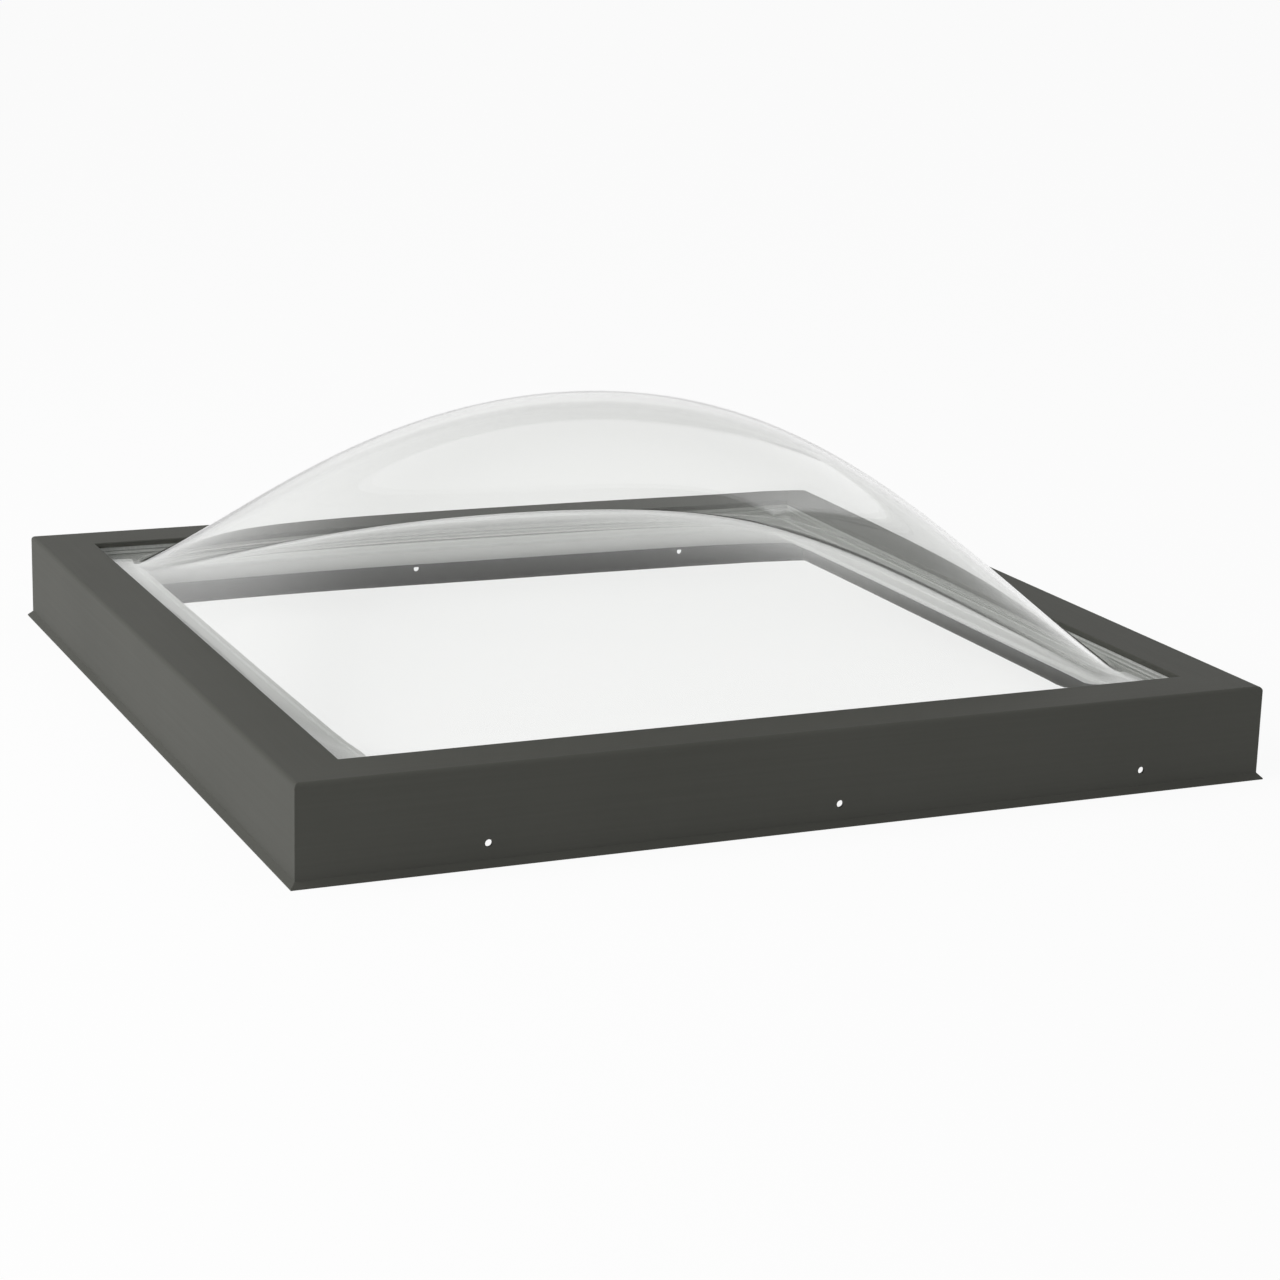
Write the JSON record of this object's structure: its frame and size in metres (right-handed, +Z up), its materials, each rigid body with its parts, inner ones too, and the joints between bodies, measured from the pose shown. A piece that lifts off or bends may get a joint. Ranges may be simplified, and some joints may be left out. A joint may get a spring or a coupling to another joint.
{
  "type": "curb-mounted roof skylight",
  "caption": "Square fixed roof skylight: a dark metal frame with a deep skirt clamps a tall clear dome over a low one, with a pale liner, and screws down over a raised curb.",
  "frame": {"origin": "centre of the skirt's bottom rim", "axes": "+Z up through the domes' crowns, -Y out of the front member"},
  "size_m": [0.6798, 0.6798, 0.215],
  "materials": {
    "frame_finish": "satin dark bronze coating",
    "clear_acrylic": "clear, polished",
    "liner_vinyl": "satin pale grey",
    "key_metal": "mill finish",
    "gasket_rubber": "matte, pale grey",
    "glazing_tape": "matte, pale grey",
    "curb_foam": "matte foam"
  },
  "bodies": {
    "root": {"frame_front": "frame_finish", "frame_right": "frame_finish", "frame_back": "frame_finish", "frame_left": "frame_finish", "liner_front": "liner_vinyl", "liner_right": "liner_vinyl", "liner_back": "liner_vinyl", "liner_left": "liner_vinyl", "top_gasket_front": "gasket_rubber", "top_gasket_right": "gasket_rubber", "top_gasket_back": "gasket_rubber", "top_gasket_left": "gasket_rubber", "spacer_tape_front": "glazing_tape", "spacer_tape_right": "glazing_tape", "spacer_tape_back": "glazing_tape", "spacer_tape_left": "glazing_tape", "bed_tape_front": "glazing_tape", "bed_tape_right": "glazing_tape", "bed_tape_back": "glazing_tape", "bed_tape_left": "glazing_tape", "curb_gasket_front": "curb_foam", "curb_gasket_right": "curb_foam", "curb_gasket_back": "curb_foam", "curb_gasket_left": "curb_foam", "corner_key_front_left": "key_metal", "corner_key_front_right": "key_metal", "corner_key_back_right": "key_metal", "corner_key_back_left": "key_metal", "outer_dome": "clear_acrylic", "inner_dome": "clear_acrylic"}
  },
  "joints": []
}
